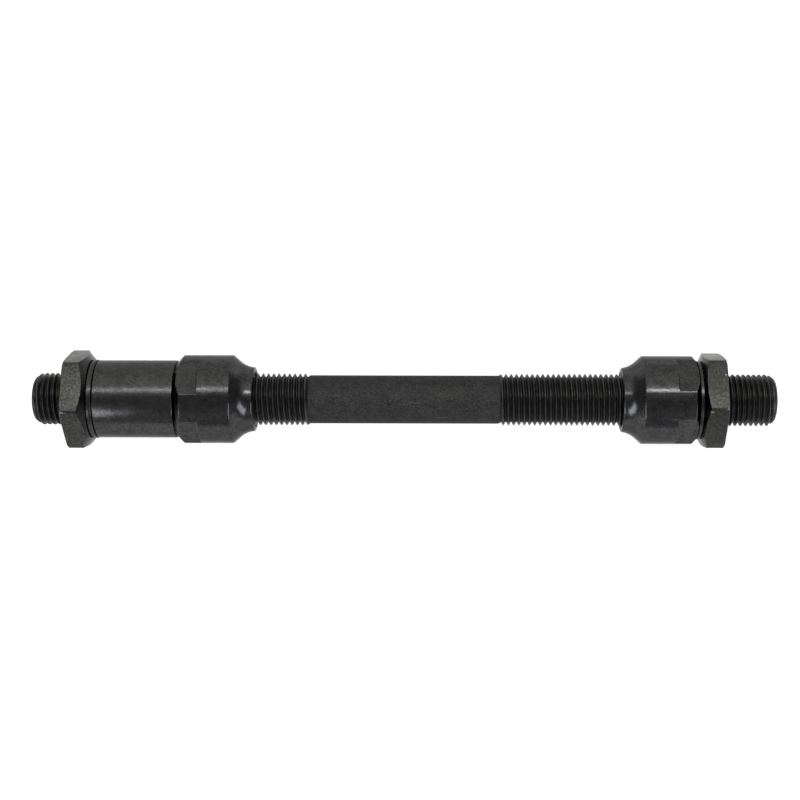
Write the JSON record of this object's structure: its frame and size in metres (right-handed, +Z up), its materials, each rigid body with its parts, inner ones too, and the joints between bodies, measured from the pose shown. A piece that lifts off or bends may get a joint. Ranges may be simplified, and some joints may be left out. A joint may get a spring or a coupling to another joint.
{
  "type": "bicycle hub axle",
  "caption": "Hollow threaded rear hub axle in black steel, with bearing cones, a tubular spacer, washers and hexagonal locknuts that screw along it.",
  "frame": {"origin": "middle of the axle, on its axis", "axes": "+X along the axle towards the end that stands out further past its locknut (the right end), +Z up, -Y towards the viewer"},
  "size_m": [0.14, 0.0192, 0.0178],
  "materials": {
    "axle_steel": "black oxide, matte",
    "locknut_steel": "black oxide, fine blasted grain",
    "washer_steel": "black oxide, satin",
    "spacer_steel": "black oxide, satin, turned",
    "cone_steel": "black oxide, satin, ground race"
  },
  "bodies": {
    "axle": {"axle": "axle_steel"},
    "left_washer": {"left_washer": "washer_steel"},
    "left_locknut": {"left_locknut": "locknut_steel"},
    "left_spacer": {"left_spacer": "spacer_steel"},
    "left_cone": {"left_cone": "cone_steel"},
    "right_washer": {"right_washer": "washer_steel"},
    "right_locknut": {"right_locknut": "locknut_steel"},
    "right_cone": {"right_cone": "cone_steel"}
  },
  "joints": [
    {"name": "left_washer_slide", "type": "slide", "parent": "axle", "child": "left_washer", "axis": [-1, 0, 0], "range_m": [0, 0.009]},
    {"name": "left_locknut_screw", "type": "hinge", "parent": "left_washer", "child": "left_locknut", "pos_m": [-0.06355, 0, 0], "axis": [-1, 0, 0], "range_deg": [0, 3240]},
    {"name": "left_spacer_slide", "type": "slide", "parent": "axle", "child": "left_spacer", "axis": [1, 0, 0], "range_m": [0, 0.009]},
    {"name": "left_cone_screw", "type": "hinge", "parent": "left_spacer", "child": "left_cone", "pos_m": [-0.0428, 0, 0], "axis": [1, 0, 0], "range_deg": [0, 3240]},
    {"name": "right_washer_slide", "type": "slide", "parent": "axle", "child": "right_washer", "axis": [1, 0, 0], "range_m": [0, 0.012]},
    {"name": "right_locknut_screw", "type": "hinge", "parent": "right_washer", "child": "right_locknut", "pos_m": [0.0601, 0, 0], "axis": [1, 0, 0], "range_deg": [0, 4320]},
    {"name": "right_cone_slide", "type": "slide", "parent": "axle", "child": "right_cone", "axis": [-1, 0, 0], "range_m": [0, 0.021]}
  ],
  "couplings": [
    {"joint": "left_washer_slide", "follows": "left_locknut_screw", "m_per_rad": 0.00015915},
    {"joint": "left_spacer_slide", "follows": "left_cone_screw", "m_per_rad": 0.00015915},
    {"joint": "right_washer_slide", "follows": "right_locknut_screw", "m_per_rad": 0.00015915}
  ]
}
